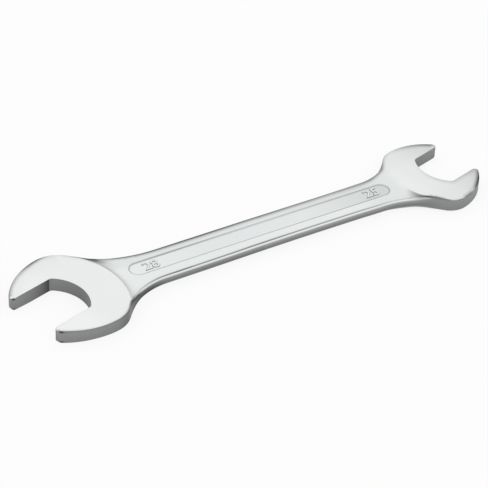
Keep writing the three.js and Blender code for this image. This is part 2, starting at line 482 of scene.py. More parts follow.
def panel_row(gap):
    """A closed row of points round the panel, this far out from its outline."""
    radius = PANEL_RADIUS + gap
    turns = np.linspace(-math.pi / 2, math.pi / 2, PANEL_END_POINTS)
    around = np.stack([np.cos(turns), np.sin(turns)], axis=1)
    end = radius * around + (PANEL_STRAIGHT, 0)
    steps = round(2 * PANEL_STRAIGHT / ROW_STEP)
    along = np.linspace(PANEL_STRAIGHT, -PANEL_STRAIGHT, steps + 1)[1:-1]
    top = np.stack([along, np.full(steps - 1, radius)], axis=1)
    row = np.vstack([end, top, -end, -top]) + SHIFT + (PANEL_OFFSET, 0)
    row[:, 1] += chart(PANEL_MIDDLE, row[:, 0])
    return row


def skirt_rows(head, overrun):
    """Rows of points round a head's face, from inside its edge to past its skirt."""
    run = skirt_run(head)
    rows = []
    for gap in np.linspace(-overrun, run + overrun, SKIRT_ROWS):
        radius = head["face_radius"] + gap
        turns = np.arange(0, 2 * math.pi, ROW_STEP / radius)
        rows.append(plate_centre(head) + radius * np.stack([np.cos(turns), np.sin(turns)], axis=1))
    return np.vstack(rows)


def grid_points(low, high):
    """A grid of staggered points over the face."""
    xs = np.arange(low[0], high[0], FACE_STEP)
    ys = np.arange(low[1], high[1], FACE_STEP * math.sqrt(3) / 2)
    x, y = np.meshgrid(xs, ys)
    x[1::2] += FACE_STEP / 2
    return np.stack([x.ravel(), y.ravel()], axis=1)


def face_mesh(loop):
    """Triangles that fill the face inside the loop. The loop's points come first."""
    panel = [panel_row(gap) for gap in np.linspace(-PANEL_ROWS_REACH, PANEL_ROWS_REACH, PANEL_ROWS)]
    overrun = skirt_run(SMALL) * SKIRT_OVERRUN_SHARE
    skirts = np.vstack([skirt_rows(LARGE, FACE_MARGIN), skirt_rows(SMALL, overrun)])
    skirts = skirts[inside(skirts, loop)]
    skirts = skirts[nearest(skirts, loop)[0] > FACE_MARGIN]
    grid = grid_points(loop.min(axis=0), loop.max(axis=0))
    grid = grid[inside(grid, loop)]
    grid = grid[nearest(grid, np.vstack([loop, skirts, *panel]))[0] > GRID_CLEARANCE]
    points = np.vstack([loop, *panel, skirts, grid])
    edges = []
    start = 0
    for row in [loop, *panel]:
        edges += [(start + i, start + (i + 1) % len(row)) for i in range(len(row))]
        start += len(row)
    made = delaunay_2d_cdt([Vector(p) for p in points], edges, [], 0, MERGE_DISTANCE, True)
    places = np.array([tuple(v) for v in made[0]])
    triangles = np.array(made[2])
    kept = inside(places[triangles].mean(axis=1), loop)
    return places, triangles[kept], made[3]


def upper_points(rings, places, sources):
    """Points of the upper half, rings first, and the number of each of the face's points."""
    levels, count = rings.shape[:2]
    height = face_height(places)
    ids = np.empty(len(places), int)
    inner = []
    for i, source in enumerate(sources):
        on_loop = [number for number in source if number < count]
        if on_loop:
            ids[i] = (levels - 1) * count + on_loop[0]
        else:
            ids[i] = levels * count + len(inner)
            inner.append((*places[i], height[i]))
    return np.vstack([*rings, inner]), ids


def both_faces(upper, corners):
    """One triangle of the upper face, turned upwards, and its mirror image below."""
    a, b, c = corners
    ab, ac = upper[b, PLACE] - upper[a, PLACE], upper[c, PLACE] - upper[a, PLACE]
    if ab[0] * ac[1] - ab[1] * ac[0] < 0:
        b, c = c, b
    under = len(upper)
    return (a, b, c), (under + a, under + c, under + b)


def edge_faces(levels, count, under):
    """Faces of the wall and of the rounded edges above and below it."""
    faces = []
    for i in range(count):
        j = (i + 1) % count
        faces.append((under + i, under + j, j, i))
        for level in range(levels - 1):
            a, b = level * count + i, level * count + j
            faces.append((a, b, b + count, a + count))
            faces.append((under + a + count, under + b + count, under + b, under + a))
    return faces


def underside(upper):
    """The lower half: a mirror image, thinner on the shank and rounder under one flank."""
    lower = upper * (1, 1, -1)
    x, y = upper[:, PLACE].T
    thin = UNDER_THINNING * smooth((UNDER_END - np.abs(x)) / UNDER_RUN)
    rim = nearest(upper[:, PLACE], OUTLINE[:, PLACE])[0]
    edge = bell(rim, UNDER_EDGE_RIM) * bell(x - UNDER_EDGE_X, UNDER_EDGE_REACH) * (y < FLANK_Y)
    lower[:, 2] *= (1 - thin / SHANK_FACE) * (1 - UNDER_EDGE_SHARE * edge)
    return lower


def forging_mesh():
    """The fine mesh of the forging, with the shares that its finish and painted light and shade come
    from.
    """
    rings, crease = edge_rings(OUTLINE)
    levels, count = rings.shape[:2]
    places, triangles, sources = face_mesh(rings[-1, :, PLACE])
    upper, ids = upper_points(rings, places, sources)
    under = len(upper)
    faces = edge_faces(levels, count, under)
    for triangle in triangles:
        faces += both_faces(upper, ids[triangle].tolist())
    vertices = np.vstack([upper, underside(upper)]) + (0, 0, MIDDLE_HEIGHT)
    mesh = bpy.data.meshes.new("wrench_forging_fine")
    mesh.from_pydata((vertices * MM).tolist(), [], faces)
    mesh.polygons.foreach_set("use_smooth", [True] * len(mesh.polygons))
    mesh.update()
    slope = np.abs([n.vector.z for n in mesh.vertex_normals])[:under]
    shares = finish_and_light_shares(upper, slope, levels, crease)
    below = dict(shares, shade=shares["shade"] + FOOT_SHADE * shares["side"])
    for name, values in shares.items():
        add_share(mesh, name, np.hstack([values, below[name]]))
    return mesh


def add_share(mesh, name, values):
    """Gives a mesh a value for each of its points, which the material reads by name."""
    attribute = mesh.attributes.new(name, "FLOAT", "POINT")
    attribute.data.foreach_set("value", np.asarray(values, np.float32))


# The dark line of painted shade along the upper creases of the +Y side and of the -Y side, from
# the large head to the small one: x, strength, reach over the face.
FAR_CREASE = (
    (-126, 0.55, 0.7), (-120, 0.45, 1.1), (-115, 0.45, 1.5), (-109, 0.8, 1.4), (-106, 0.92, 1.3),
    (-102.5, 0.85, 1.2), (-99, 0.5, 1.1), (-96, 0.15, 1.2), (-92, 0.08, 1.0), (-87, 0.38, 0.6),
    (-84, 0.72, 0.7), (-81, 0.92, 0.9), (-77.5, 0.92, 1.2), (-74.5, 0.7, 1.2), (-71, 0.7, 1.1),
    (-67, 0.85, 1.1), (-60, 0.9, 1.1), (-47, 0.95, 1.3), (-25, 0.97, 1.5), (4, 0.85, 1.4),
    (28, 0.75, 1.35), (50, 0.6, 1.6), (66, 0.65, 1.8), (72, 0.76, 1.6), (79, 0.6, 1.1),
    (82, 0.68, 1.2), (87, 0.35, 0.8), (92, 0.15, 1.4), (96, 0.12, 2.0), (99, 0.28, 2.0),
    (106, 0.52, 2.2), (113, 0.75, 2.0), (119, 0.85, 2.2),
)
NEAR_CREASE = (
    (-118, 0.3, 0.4), (-106, 0.1, 0.4), (-88, 0.1, 0.4), (-82, 0.45, 0.4), (-79, 0.7, 0.4),
    (-76.6, 1.0, 0.2), (-74, 0.65, 1.2), (-71.5, 0.3, 0.5), (-67.7, 0.4, 0.5), (-64, 0.55, 0.45),
    (-57, 0.75, 0.5), (-47, 0.95, 0.5), (-41, 0.9, 0.5), (-38, 0.76, 0.5), (-21, 0.76, 0.5),
    (0, 0.8, 0.6), (20, 0.68, 0.52), (54, 0.64, 0.5), (65, 0.52, 0.45), (72, 0.35, 0.35),
    (80, 0.3, 0.35), (84, 0.5, 0.5), (88, 0.9, 0.6), (91, 0.9, 0.4), (94, 0.55, 0.4),
    (97, 0.35, 0.4), (100, 0.15, 0.4), (105.5, 0.15, 0.8), (107.5, 0.6, 0.9), (111.5, 0.6, 0.9),
    (113.5, 0.25, 1.6), (115, 0.35, 1.4), (117, 0.85, 1.2), (119.5, 0.95, 1.4), (122, 1.0, 1.4),
    (124, 0.9, 1.1), (126, 0.6, 1.1),
)

# How far that painted shade reaches down the wall, on the -Y side (x, reach) and on the +Y side.
NEAR_WALL_LINE = (
    (-84, 0.42), (-80, 0.7), (-77, 1.4), (-74, 1.3), (-71, 0.42), (-60, 0.42), (-50, 0.3),
    (60, 0.3), (72, 0.42),
)
FAR_WALL_LINE = 0.42

# The painted shade line along the small mouth, which grows where the outward normal's y passes the start.
SMALL_MOUTH_LINE = 0.25
MOUTH_LINE_START = -0.25
MOUTH_LINE_REACH = 1.6

# The painted shade line round the panel on its +Y side and on its -Y side: x, strength.
FAR_PANEL_LINE = (
    (-71, 0.5), (-50, 0.6), (-38, 0.56), (-20, 0.4), (0, 0.32), (20, 0.3), (40, 0.36), (72, 0.4),
)
NEAR_PANEL_LINE = (
    (-71, 0.5), (-60, 0.75), (-50, 0.8), (-30, 0.72), (0, 0.72), (20, 0.78), (40, 0.95),
    (66, 0.95), (71, 0.45),
)
PANEL_LINE_WIDTH = 0.33
PANEL_LINE_BLEND = 4

# Painted shade in the hollows beside the large head's face, in parts: strength, where past the
# face's edge they start and how far they rise, the middle and width of their fade, and their reach
# in from the outline. A flat one stays at full strength up to its middle.
LARGE_BAND = dict(strength=0.2, start=-0.3, rise=0.5, middle=0.6, fade=2.2, flat=True, reach=25)
LARGE_WEDGE = dict(strength=1.1, start=-0.6, rise=1, middle=2.4, fade=2.6, flat=True, reach=4.5)
LARGE_SOFT = dict(strength=0.5, start=0, rise=1, middle=2, fade=2.4, flat=False, reach=6.5)
LARGE_NEAR = dict(strength=0.35, start=-0.3, rise=0.5, middle=2.2, fade=2.4, flat=False, reach=2.6)
HOLLOW_DARKEST = 0.92

# The painted shade in the hollow beside the small head's face: its strength by the distance in from
# the outline, where it starts, and its fade, which narrows away from the outline.
SMALL_HOLLOW = ((0, 0.85), (2.5, 0.75), (5, 0.48), (7, 0.28), (9, 0))
SMALL_HOLLOW_START = -1.25
SMALL_HOLLOW_RISE = 0.5
SMALL_HOLLOW_MIDDLE = -0.8
SMALL_HOLLOW_FADE = 4.4
SMALL_HOLLOW_NARROWING = 0.45
SMALL_HOLLOW_LEAST = 0.9

# Dark lines of painted shade on the large head's rounded edges, beside its -Y neck and on its -Y jaw.
NECK_EDGE_MIDDLE = 2.6
NECK_EDGE_WIDTH = 3.6
NECK_EDGE_SLOPE = 0.6
NECK_EDGE_SPREAD = 0.26
JAW_EDGE_STRENGTH = 0.3
JAW_EDGE_START = 108
JAW_EDGE_RUN = 4
JAW_EDGE_SLOPE = 0.5
JAW_EDGE_SPREAD = 0.25

# Spots of reflection on the large head's lips, bright and dark: x, y, strength, width, length.
LIP_GLINTS = ((-125.7, 8.9, 1, 0.6, 0.8), (-117.6, -22.3, 0.9, 0.5, 0.5))
LIP_SPOTS = ((-125, 7.5, 1, 0.7, 1), (-116.4, -23.9, 0.95, 0.6, 1.5))
LIP_SPOT_TURN = math.radians(-25)
LIP_SPOT_SLOPE = 0.65
LIP_SPOT_RUN = 0.3
LIP_GLINT_SLOPE = 0.2

# A painted highlight: the bright line on the rounded -Y edge of the shank.
EDGE_GLINT = 0.45
EDGE_GLINT_SLOPE = 0.7
EDGE_GLINT_SPREAD = 0.09

# Light lost on the shank's faces, as soft steps along x: amount, start, run. The strip lies
# between the panel and the shank's +Y side.
PANEL_SHADE = ((0.035, -55, 25), (0.09, 22, 34))
PANEL_SHADE_EDGE = 0.8
STRIP_SHADE_BASE = 0.06
STRIP_SHADE = ((0.04, 10, 30),)
STRIP_START = 4
STRIP_EDGE = 0.8
STRIP_END = 52
STRIP_END_RUN = 20
SHANK_END_SHADE = ((0.055, 52, 14),)

# Light lost on the heads' faces, as soft steps along the mouth or across the head, and how softly
# the large head's gives way to the shank's.
HEAD_SHADE_BASE = 0.045
LARGE_SHADE = ((-0.04, 2, 14),)
LARGE_SHADE_EDGE = 3
LARGE_RIM_SHADE = 0.06
LARGE_RIM_REACH = 6
LARGE_RIM_END = -97
SMALL_SHADE = ((0.035, -14, 10), (0.09, -4, 18))
SMALL_TIP_SHADE_BASE = 0.18
SMALL_TIP_SHADE = ((-0.08, -6, 12),)
SMALL_TIP_START = 11
SMALL_TIP_RUN = 12
SMALL_FAR_SHADE = ((0.03, 6, 14),)
SMALL_NEAR_SHADE = ((0.03, 4, 14),)

# Light lost on the walls: in the throats, in the corners beside them and on the jaws' flats.
MOUTH_SHADES = (
    dict(head=LARGE, throat=0.32, corner=0.72, flat=0.03),
    dict(head=SMALL, throat=0.13, corner=0.16, flat=0.06),
)
THROAT_REACH_SHARE = 0.32
THROAT_SHADE_SLOPE = 0.014
CORNER_SHADE_RUN = 9

# Light lost on the walls outside the mouths: the large head's flanks, its -Y neck, the small
# head's tips, both tight necks, the shank's parting line and the lower half of all sides.
LARGE_WALL_SHADE = ((0.05, -112, 15),)
NECK_WALL_SHADE = 0.38
NECK_WALL_X = -82
NECK_WALL_REACH = 5.5
TIP_WALL_SHADE = ((0.19, 112, 8),)
TIGHT_NECK_SHADE = 0.5
PARTING_SHADE = 0.2
PARTING_SHADE_RUN = 0.25
FOOT_SHADE = 0.12

# The slopes at which the darker sides, of satin and painted shade, begin on the heads, on the large
# lips and on the shank, where they also fade a little as they turn upwards.
HEAD_SIDE_SLOPE = 0.53
LIP_SIDE_SLOPE = 0.15
SHANK_SIDE_SLOPE = 0.42
SHANK_SIDE_POWER = 3
SIDE_SLOPE_RUN = 0.32
SHANK_SIDE_FADE = 0.12
SIDE_FADE_START = 0.1
SIDE_FADE_RUN = 0.3

# The painted shade strip on the face beside the small head's -Y neck, and other reaches of the finish.
GREY_REACH = 1.5
GREY_REACH_X = 93
GREY_REACH_RUN = 5.5
GREY_EDGE = 0.6
POLISH_EDGE = 0.4
WORN_RIM = 6


def crease_lines(points, levels, crease):
    """Strength of the painted shade line along the creases, narrow on the wall's side of them."""
    away, index = nearest(points, crease)
    x, y, _, normal_y, _, cut, _ = OUTLINE[index].T
    strength = np.where(y > 0, chart(FAR_CREASE, x), chart(NEAR_CREASE, x))
    reach = np.where(y > 0, chart(FAR_CREASE, x, 2), chart(NEAR_CREASE, x, 2))
    mouth = np.where(x > 0, SMALL_MOUTH_LINE * ramp(normal_y, MOUTH_LINE_START, 1), 0)
    strength = mix(strength, mouth, cut)
    reach = mix(reach, MOUTH_LINE_REACH, cut)
    on_wall = np.arange(len(points)) < (levels - FILLET_RINGS - 1) * len(OUTLINE)
    wall_reach = np.where(y < 0, chart(NEAR_WALL_LINE, x), FAR_WALL_LINE)
    return strength * bell(away, np.where(on_wall, wall_reach, reach))


def panel_lines(points):
    """Strength of the painted shade line round the panel."""
    x, y = (points - SHIFT).T
    far = within(-y, PANEL_LINE_BLEND)
    strength = mix(chart(NEAR_PANEL_LINE, x), chart(FAR_PANEL_LINE, x), far)
    return strength * bell(panel_gap(points), PANEL_LINE_WIDTH)


def hollow_darkness(hollow, past):
    """Painted shade in one of the large head's hollows, this far past the edge of its face."""
    beyond = past - hollow["middle"]
    if hollow["flat"]:
        beyond = np.clip(beyond, 0, None)
    return hollow["strength"] * ramp(past, hollow["start"], hollow["rise"]) * bell(beyond, hollow["fade"])


def large_neck_darkness(points, rim):
    """Painted shade in the large head's hollows: the part that spares the sides, and the +Y neck's."""
    past = past_face(LARGE, points)
    y = points[:, 1] - SHIFT[1]
    band = hollow_darkness(LARGE_BAND, past) * np.exp(-rim / LARGE_BAND["reach"])
    wedge, soft, near = (
        hollow_darkness(hollow, past) * bell(rim, hollow["reach"])
        for hollow in (LARGE_WEDGE, LARGE_SOFT, LARGE_NEAR)
    )
    far = np.clip(np.maximum(wedge, soft), 0, HOLLOW_DARKEST) * (y > 0)
    return np.maximum(band, near * (y < 0)), far


def small_neck_darkness(points, rim):
    """Painted shade in the hollow of the small head's -Y neck."""
    past = past_face(SMALL, points)
    y = points[:, 1] - SHIFT[1]
    start = ramp(past, SMALL_HOLLOW_START, SMALL_HOLLOW_RISE)
    fade = np.maximum(SMALL_HOLLOW_FADE - SMALL_HOLLOW_NARROWING * rim, SMALL_HOLLOW_LEAST)
    beyond = np.clip(past - SMALL_HOLLOW_MIDDLE, 0, None)
    return chart(SMALL_HOLLOW, rim) * start * bell(beyond, fade) * (y < 0)


def edge_darkness(points, slope):
    """Painted shade lines on the large head's rounded edges, beside its -Y neck and on its -Y jaw."""
    y = points[:, 1] - SHIFT[1]
    neck = bell(past_face(LARGE, points) - NECK_EDGE_MIDDLE, NECK_EDGE_WIDTH) * (y < 0)
    neck *= bell(slope - NECK_EDGE_SLOPE, NECK_EDGE_SPREAD)
    jaw = JAW_EDGE_STRENGTH * ramp(-points[:, 0], JAW_EDGE_START, JAW_EDGE_RUN) * (y < FLANK_Y)
    jaw *= bell(slope - JAW_EDGE_SLOPE, JAW_EDGE_SPREAD)
    return np.maximum(neck, jaw)


def lip_spots(points, rows):
    """Spots of reflection on the rounded lips of the large head's jaws."""
    cosine, sine = math.cos(LIP_SPOT_TURN), math.sin(LIP_SPOT_TURN)
    spots = np.zeros(len(points))
    for x, y, strength, width, length in rows:
        dx, dy = (points - (x, y)).T
        spot = bell(dx * cosine + dy * sine, length) * bell(dy * cosine - dx * sine, width)
        spots = np.maximum(spots, strength * spot)
    return spots


def shank_face_shade(points):
    """Light lost on the shank's face: on the panel, above it and towards the small head."""
    x, y = (points - SHIFT).T
    on_panel = within(panel_gap(points), PANEL_SHADE_EDGE)
    on_strip = ramp(y, STRIP_START, STRIP_EDGE) * (1 - ramp(x, STRIP_END, STRIP_END_RUN))
    shade = on_panel * ramps(x, PANEL_SHADE) + on_strip * ramps(x, STRIP_SHADE, STRIP_SHADE_BASE)
    return shade + ramps(x, SHANK_END_SHADE)


def large_face_shade(points, rim):
    """Light lost on the large head's face: at the throat and along the +Y rim."""
    x, y = (points - SHIFT).T
    along = ramps(head_reach(LARGE, points), LARGE_SHADE, HEAD_SHADE_BASE)
    return along + LARGE_RIM_SHADE * bell(rim, LARGE_RIM_REACH) * (y > 0) * (x < LARGE_RIM_END)


def small_face_shade(points):
    """Light lost on the small head's face: towards its tips and to both sides."""
    y = points[:, 1] - SHIFT[1]
    reach = head_reach(SMALL, points)
    tips = ramps(y, SMALL_TIP_SHADE, SMALL_TIP_SHADE_BASE) * ramp(reach, SMALL_TIP_START, SMALL_TIP_RUN)
    sides = ramps(y, SMALL_FAR_SHADE) + ramps(-y, SMALL_NEAR_SHADE)
    return ramps(reach, SMALL_SHADE, HEAD_SHADE_BASE) + tips + sides


def face_shade(points, rim):
    """Share of light lost on the faces."""
    on_small = within(past_face(SMALL, points), skirt_run(SMALL))
    on_large = within(past_face(LARGE, points), LARGE_SHADE_EDGE)
    shade = mix(shank_face_shade(points), small_face_shade(points), on_small)
    return mix(shade, large_face_shade(points, rim), on_large)


def mouth_wall_shade(head, throat, corner, flat):
    """Share of light lost on the walls of one mouth."""
    reach = head_reach(head, OUTLINE[:, PLACE])
    bend = head["throat_radius"] * THROAT_REACH_SHARE
    on_throat = throat + THROAT_SHADE_SLOPE * (OUTLINE[:, 1] - SHIFT[1]) * head["end"]
    on_flat = flat + corner * np.exp(-np.clip(reach - bend, 0, None) / CORNER_SHADE_RUN)
    here = ~OUTER & (OUTLINE[:, 0] * head["end"] > 0)
    return np.where(reach < bend, on_throat, on_flat) * here


def wall_shade():
    """Share of light lost on the walls, for each row of the outline."""
    x, y = OUTLINE[:, PLACE].T
    shade = ramps(x, LARGE_WALL_SHADE) * (x < 0) + ramps(x, TIP_WALL_SHADE)
    shade += NECK_WALL_SHADE * bell(x - NECK_WALL_X, NECK_WALL_REACH) * (y < 0)
    shade += TIGHT_NECK_SHADE * OUTLINE[:, HOLLOW] * (x * y > 0)
    return shade * OUTER + sum(mouth_wall_shade(**shades) for shades in MOUTH_SHADES)


def side_share(points, slope, levels, crease):
    """Share of the dark satin sides with painted shade, and a painted shade strip by the small -Y neck.
    """
    shank, cut = OUTLINE[:, SHANK], OUTLINE[:, CUT]
    start = mix(HEAD_SIDE_SLOPE, SHANK_SIDE_SLOPE, shank ** SHANK_SIDE_POWER)
    start = mix(start, LIP_SIDE_SLOPE, lip_share(LARGE, OUTLINE[:, PLACE]) * cut)
    on_rings = slope[:levels * len(OUTLINE)]
    steep = 1 - ramp(on_rings, np.tile(start, levels), SIDE_SLOPE_RUN)
    fade = SHANK_SIDE_FADE * np.tile(shank, levels) * ramp(on_rings, SIDE_FADE_START, SIDE_FADE_RUN)
    side = np.zeros(len(points))
    side[:len(on_rings)] = steep * (1 - fade)
    away, index = nearest(points, crease[:, PLACE])
    reach = GREY_REACH * bell(OUTLINE[index, 0] - GREY_REACH_X, GREY_REACH_RUN)
    reach *= (OUTLINE[index, 1] < 0) & OUTER[index]
    return np.maximum(side, ramp(reach - away, 0, GREY_EDGE))


def line_share(upper, slope, levels, crease, rim, side):
    """Share of painted dark lines: shade at creases, edges, hollows and panel, reflections on lips."""
    points = upper[:, PLACE]
    numbers = np.arange(len(points))
    edge = edge_darkness(points, slope) * (numbers < levels * len(OUTLINE))
    lips = lip_spots(points, LIP_SPOTS) * (1 - ramp(slope, LIP_SPOT_SLOPE, LIP_SPOT_RUN))
    lips *= numbers >= len(OUTLINE)
    faces, far = large_neck_darkness(points, rim)
    faces = np.maximum(faces, small_neck_darkness(points, rim)) * (1 - side)
    crease_line = crease_lines(upper, levels, crease)
    return np.clip(np.maximum.reduce([edge, crease_line, lips, panel_lines(points), faces, far]), 0, 1)


def glint_share(points, slope, levels):
    """Share of painted highlight: spots on the lips and a line on the shank's -Y edge."""
    glint = lip_spots(points, LIP_GLINTS) * (slope > LIP_GLINT_SLOPE)
    shank = np.tile(OUTLINE[:, SHANK], levels)
    rings = slice(0, len(shank))
    # The painted highlight along the rounded -Y edge of the shank.
    worn = EDGE_GLINT * shank * bell(slope[rings] - EDGE_GLINT_SLOPE, EDGE_GLINT_SPREAD)
    glint[rings] = np.maximum(glint[rings], worn * (points[rings, 1] < 0))
    return glint


def shade_share(points, slope, levels, rim, side):
    """Share of light lost on the faces, on the walls and at the shank's parting line."""
    shade = face_shade(points, rim) * (1 - side)
    shank = np.tile(OUTLINE[:, SHANK], levels)
    rings = slice(0, len(shank))
    shade[rings] += np.tile(wall_shade(), levels) * side[rings]
    shade[rings] += PARTING_SHADE * shank * (1 - ramp(slope[rings], 0, PARTING_SHADE_RUN))
    return shade


def finish_and_light_shares(upper, slope, levels, crease):
    """Shares that the finish and the painted light and shade come from, for the upper half's points."""
    points = upper[:, PLACE]
    rim = nearest(points, OUTLINE[OUTER, PLACE])[0]
    side = side_share(points, slope, levels, crease)
    on_large = within(past_face(LARGE, points), POLISH_EDGE)
    on_small = within(past_face(SMALL, points), skirt_run(SMALL))
    return dict(
        polished=np.maximum(on_large, on_small),
        side=side,
        line=line_share(upper, slope, levels, crease, rim, side),
        shade=shade_share(points, slope, levels, rim, side),
        glint=glint_share(points, slope, levels),
        rim=1 - ramp(rim, 0, WORN_RIM),
    )


# The inputs and the result of the mix node for each kind of value.
MIX_SOCKETS = {"RGBA": (6, 7, 2), "FLOAT": (2, 3, 0)}
NOISE_DETAIL = 2


class Shader:
    """Short calls that add nodes to one material or world."""

    def __init__(self, owner):
        owner.use_nodes = True
        self.tree = owner.node_tree
        self.tree.nodes.clear()

    def add(self, kind, settings=None, **inputs):
        """Adds a node with these settings and inputs."""
        node = self.tree.nodes.new(kind)
        for name, value in (settings or {}).items():
            setattr(node, name, value)
        for name, value in inputs.items():
            self.feed(node.inputs[name.replace("_", " ")], value)
        return node

    def feed(self, socket, value):
        """Links a socket to an input, or sets the input's value."""
        if isinstance(value, bpy.types.NodeSocket):
            self.tree.links.new(value, socket)
        else:
            socket.default_value = value

    def share(self, name):
        return self.add("ShaderNodeAttribute", {"attribute_name": name}).outputs["Fac"]

    def blend(self, a, b, share, kind="RGBA"):
        node = self.add("ShaderNodeMix", {"data_type": kind})
        first, second, result = MIX_SOCKETS[kind]
        self.feed(node.inputs[0], share)
        self.feed(node.inputs[first], a)
        self.feed(node.inputs[second], b)
        return node.outputs[result]

    def math(self, operation, a, b):
        node = self.add("ShaderNodeMath", {"operation": operation})
        self.feed(node.inputs[0], a)
        self.feed(node.inputs[1], b)
        return node.outputs[0]

    def noise(self, scale, stretch=(1, 1, 1)):
        place = self.add("ShaderNodeTexCoord").outputs["Object"]
        mapping = self.add("ShaderNodeMapping", Vector=place, Scale=stretch)
        noise = self.add(
            "ShaderNodeTexNoise", Vector=mapping.outputs[0], Scale=scale, Detail=NOISE_DETAIL,
        )
        return noise.outputs["Fac"]

    def finish(self, kind, result):
        """Joins the result to the output of the material or the world."""
        output = self.add(kind)
        self.feed(output.inputs["Surface"], result)


BLACK = (0, 0, 0, 1)
WHITE = (1, 1, 1, 1)

# The plating's colours: pairs that slow clouds or fine grain mix, and what is laid over them.
POLISHED_COLOURS = ((0.84, 0.865, 0.865, 1), (0.88, 0.895, 0.89, 1))
SATIN_COLOURS = ((0.81, 0.84, 0.835, 1), (0.86, 0.88, 0.875, 1))
SATIN_GRAIN_COLOUR = (0.66, 0.69, 0.69, 1)
SATIN_GRAIN_SHARE = 0.3
# The sides: darker satin that also holds painted shade for their steep walls.
SIDE_COLOURS = ((0.25, 0.26, 0.255, 1), (0.345, 0.355, 0.345, 1))
# The colour of the painted shade lines and of the dark painted reflections.
LINE_COLOUR = (0.02, 0.022, 0.024, 1)

# Its roughness on the satin shank, on the polished faces and on the sides, and what worn rims
# and the grain add.
SATIN_ROUGHNESS = 0.34
POLISHED_ROUGHNESS = 0.2
SIDE_ROUGHNESS = 0.42
RIM_ROUGHNESS = 0.08
GRAIN_ROUGHNESS = 0.12
GRAIN_MEAN = 0.5

# The patterns of its noise, in repeats to the metre, and the depth of the grain.
CLOUD_SCALE = 35
GRAIN_SCALE = 2600
STREAK_SCALE = 1500
STREAK_STRETCH = (1, 1, 0.12)
STREAK_SHARE = 0.4
BUMP_STRENGTH = 0.25
BUMP_DEPTH = 0.03


def chrome_colour(nodes, cloud, grain):
    """Pale plate, dark sides of satin and painted shade, and the painted lines, shades and glints over
    them.
    """
    polished = nodes.blend(*POLISHED_COLOURS, cloud)
    satin = nodes.blend(*SATIN_COLOURS, cloud)
    satin = nodes.blend(satin, SATIN_GRAIN_COLOUR, nodes.math("MULTIPLY", grain, SATIN_GRAIN_SHARE))
    streaks = nodes.noise(STREAK_SCALE, STREAK_STRETCH)
    grey = nodes.blend(*SIDE_COLOURS, nodes.blend(grain, streaks, STREAK_SHARE, "FLOAT"))
    colour = nodes.blend(satin, polished, nodes.share("polished"))
    colour = nodes.blend(colour, grey, nodes.share("side"))
    colour = nodes.blend(colour, BLACK, nodes.share("shade"))
    colour = nodes.blend(colour, LINE_COLOUR, nodes.share("line"))
    return nodes.blend(colour, WHITE, nodes.share("glint"))


def chrome_roughness(nodes, cloud, grain):
    """Smoothest on the polished faces, roughest on the sides, uneven at worn rims."""
    rough = nodes.blend(SATIN_ROUGHNESS, POLISHED_ROUGHNESS, nodes.share("polished"), "FLOAT")
    rough = nodes.blend(rough, SIDE_ROUGHNESS, nodes.share("side"), "FLOAT")
    worn = nodes.math("MULTIPLY", nodes.math("MULTIPLY", nodes.share("rim"), cloud), RIM_ROUGHNESS)
    uneven = nodes.math("MULTIPLY", nodes.math("SUBTRACT", grain, GRAIN_MEAN), GRAIN_ROUGHNESS)
    return nodes.math("ADD", nodes.math("ADD", rough, worn), uneven)


def chrome_material():
    """Plated steel: polished faces, satin shank, and sides of darker satin with painted shade."""
    material = bpy.data.materials.new("chrome_plate")
    nodes = Shader(material)
    cloud = nodes.noise(CLOUD_SCALE)
    grain = nodes.noise(GRAIN_SCALE)
    bump = nodes.add(
        "ShaderNodeBump", Strength=BUMP_STRENGTH, Distance=BUMP_DEPTH * MM, Height=grain,
    )
    shader = nodes.add(
        "ShaderNodeBsdfPrincipled", Base_Color=chrome_colour(nodes, cloud, grain),
        Roughness=chrome_roughness(nodes, cloud, grain), Normal=bump.outputs[0],
    )
    shader.inputs["Metallic"].default_value = 1
    nodes.finish("ShaderNodeOutputMaterial", shader.outputs[0])
    return material


def new_object(name, data):
    """An object with this data, in the scene."""
    thing = bpy.data.objects.new(name, data)
    bpy.context.scene.collection.objects.link(thing)
    return thing


def make_wrench(material):
    """The fine forging in the place of the plain one."""
    wrench = new_object("wrench_forging_fine", forging_mesh())
    wrench.data.materials.append(material)
    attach(wrench, "root")
    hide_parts("wrench_forging")


# The size numbers, raised from the panel's floor, each with the x of its left side. Across is how
# far their middle lies from the shank's. A digit's height is its share of the font's size.
NUMBERS = (("28", -60.3), ("25", 63.7))
NUMBER_ACROSS = 0.9
NUMBER_HEIGHT = 5.85
NUMBER_HEIGHT_SHARE = 0.73
NUMBER_STRETCH = 1.06
NUMBER_RAISE = 0.34
NUMBER_BOLD = 0.18
NUMBER_BORDER_STEPS = 2

# The painted shade line on their borders, lighter on the side that faces -Y.
NUMBER_LINE_SLOPE = 0.6
NUMBER_LINE_RUN = 0.35
NUMBER_FOOT_LIGHT = 0.35


def number_mesh(digits):
    """A size number's mesh, upright on its foot, from Blender's plain font."""
    curve = bpy.data.curves.new("number_" + digits, "FONT")
    curve.body = digits
    curve.size = NUMBER_HEIGHT / NUMBER_HEIGHT_SHARE * MM
    curve.offset = (NUMBER_BOLD - NUMBER_RAISE) * MM
    curve.bevel_depth = NUMBER_RAISE * MM
    curve.bevel_resolution = NUMBER_BORDER_STEPS
    text = new_object("number_" + digits, curve)
    evaluated = text.evaluated_get(bpy.context.evaluated_depsgraph_get())
    mesh = bpy.data.meshes.new_from_object(evaluated)
    bpy.data.objects.remove(text)
    return mesh


